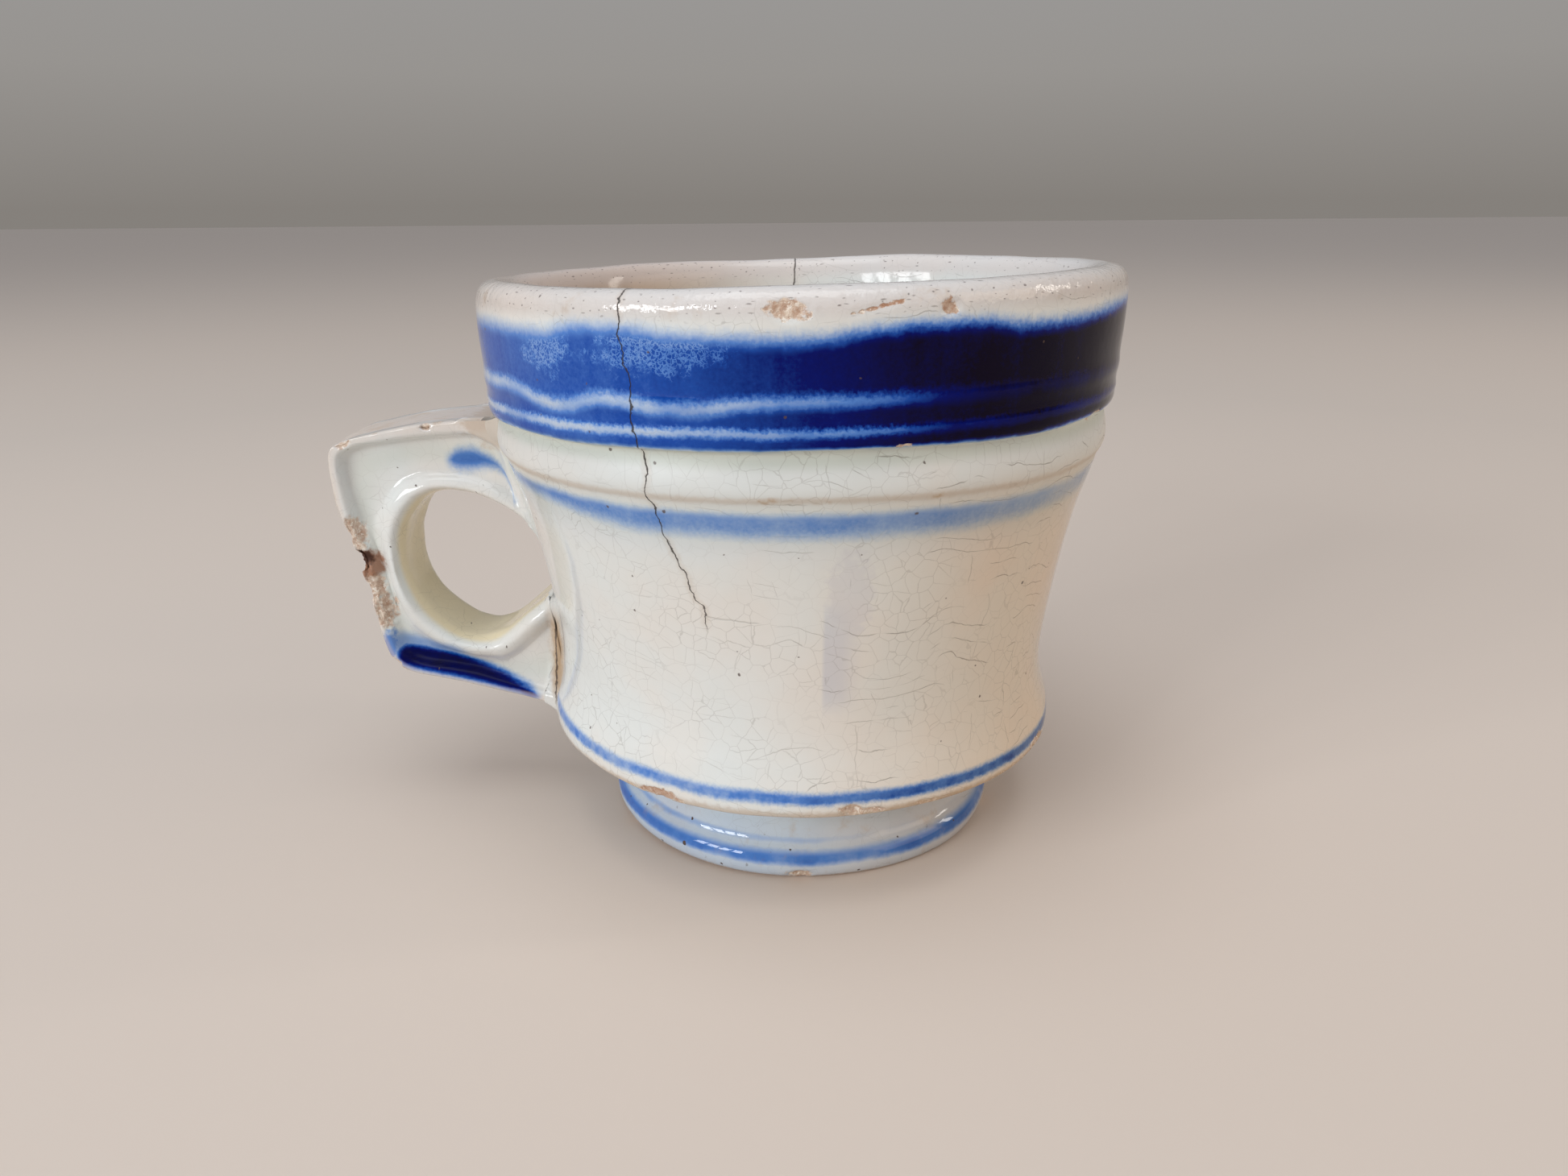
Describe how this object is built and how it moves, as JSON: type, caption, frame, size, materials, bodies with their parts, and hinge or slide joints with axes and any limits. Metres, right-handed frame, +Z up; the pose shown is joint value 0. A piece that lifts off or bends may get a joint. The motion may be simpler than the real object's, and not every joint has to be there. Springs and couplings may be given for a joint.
{
  "type": "mug",
  "caption": "Thick-walled glazed stoneware mug with a collared rim, waisted wall, flared skirt, turned foot and a flat block handle with a finger hole",
  "frame": {"origin": "centre of the foot's standing face", "axes": "+Z up along the cup's axis, +X away from the handle, so the handle points along -X"},
  "size_m": [0.1267, 0.1, 0.091],
  "materials": {
    "glazed_stoneware": "creamy white glossy glaze with hand-painted cobalt bands, fine crazing and worn edges",
    "fired_slip": "fired clay slip under glaze"
  },
  "bodies": {
    "root": {"cup_body": "glazed_stoneware", "handle": "glazed_stoneware", "foot_ring": "glazed_stoneware", "foot_slip": "fired_slip", "upper_handle_slip": "fired_slip", "lower_handle_slip": "fired_slip"}
  },
  "joints": []
}
